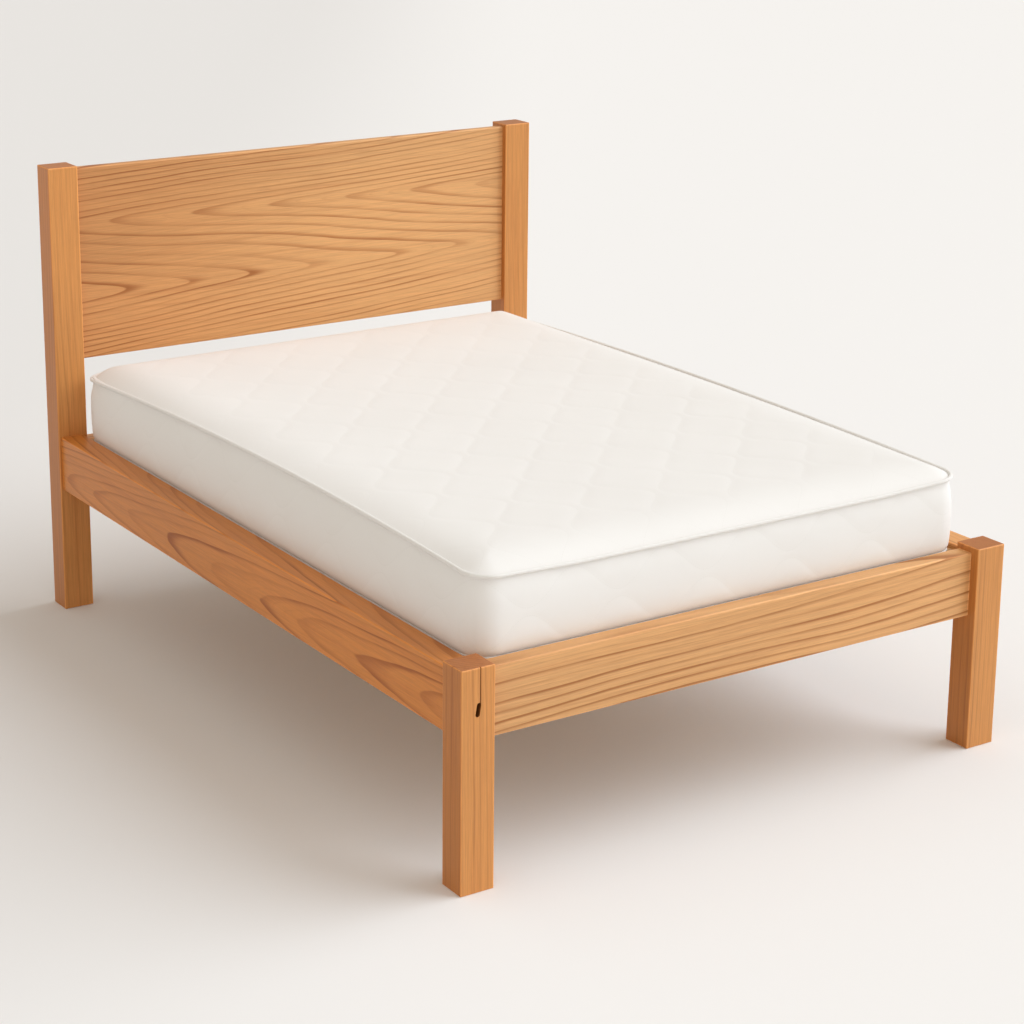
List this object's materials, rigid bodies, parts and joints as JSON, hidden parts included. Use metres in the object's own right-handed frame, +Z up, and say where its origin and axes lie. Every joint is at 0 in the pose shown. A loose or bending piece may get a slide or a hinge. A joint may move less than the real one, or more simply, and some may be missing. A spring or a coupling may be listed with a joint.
{
  "type": "timber double bed",
  "caption": "Solid timber double bed with tall square head posts, a wide head panel, short foot posts, deep rails and a white piped mattress on a slatted base.",
  "frame": {"origin": "on the floor, under the middle of the bed's overall length and width", "axes": "+X across the bed to its right side as seen from the foot, +Y along the bed to the head, +Z up"},
  "size_m": [1.55, 2.145, 1.25],
  "materials": {
    "finished_timber": "satin",
    "base_timber": "matte",
    "dowel_beech": "matte",
    "zinc_steel": "satin",
    "quilted_ticking": "matte",
    "border_ticking": "matte",
    "piping_tape": "matte",
    "foam": "matte",
    "comfort_foam": "matte"
  },
  "bodies": {
    "frame": {"head_post_left": "finished_timber", "head_post_right": "finished_timber", "foot_post_left": "finished_timber", "foot_post_right": "finished_timber", "head_panel": "finished_timber", "foot_rail": "finished_timber", "side_rail_left": "finished_timber", "side_rail_right": "finished_timber", "head_rail": "finished_timber", "ledger_left": "base_timber", "ledger_right": "base_timber", "centre_beam": "base_timber", "slat_01": "base_timber", "slat_02": "base_timber", "slat_03": "base_timber", "slat_04": "base_timber", "slat_05": "base_timber", "slat_06": "base_timber", "slat_07": "base_timber", "slat_08": "base_timber", "slat_09": "base_timber", "slat_10": "base_timber", "slat_11": "base_timber", "slat_12": "base_timber", "slat_13": "base_timber", "slat_14": "base_timber", "dowels": "dowel_beech", "beam_bracket_head": "zinc_steel", "beam_bracket_foot": "zinc_steel", "post_inserts": "zinc_steel", "connector_studs": "zinc_steel", "half_moon_washers": "zinc_steel", "connector_nuts": "zinc_steel", "ledger_screws": "zinc_steel", "slat_screws": "zinc_steel", "bracket_screws": "zinc_steel"},
    "mattress": {"mattress_core": "foam", "mattress_comfort_foam": "comfort_foam", "mattress_border": "border_ticking", "mattress_bottom_panel": "border_ticking", "mattress_top_panel": "quilted_ticking", "mattress_piping_top": "piping_tape", "mattress_piping_bottom": "piping_tape"}
  },
  "joints": [
    {"name": "mattress_lift", "type": "slide", "parent": "frame", "child": "mattress", "axis": [0, 0, 1], "range_m": [0, 0.35]}
  ]
}
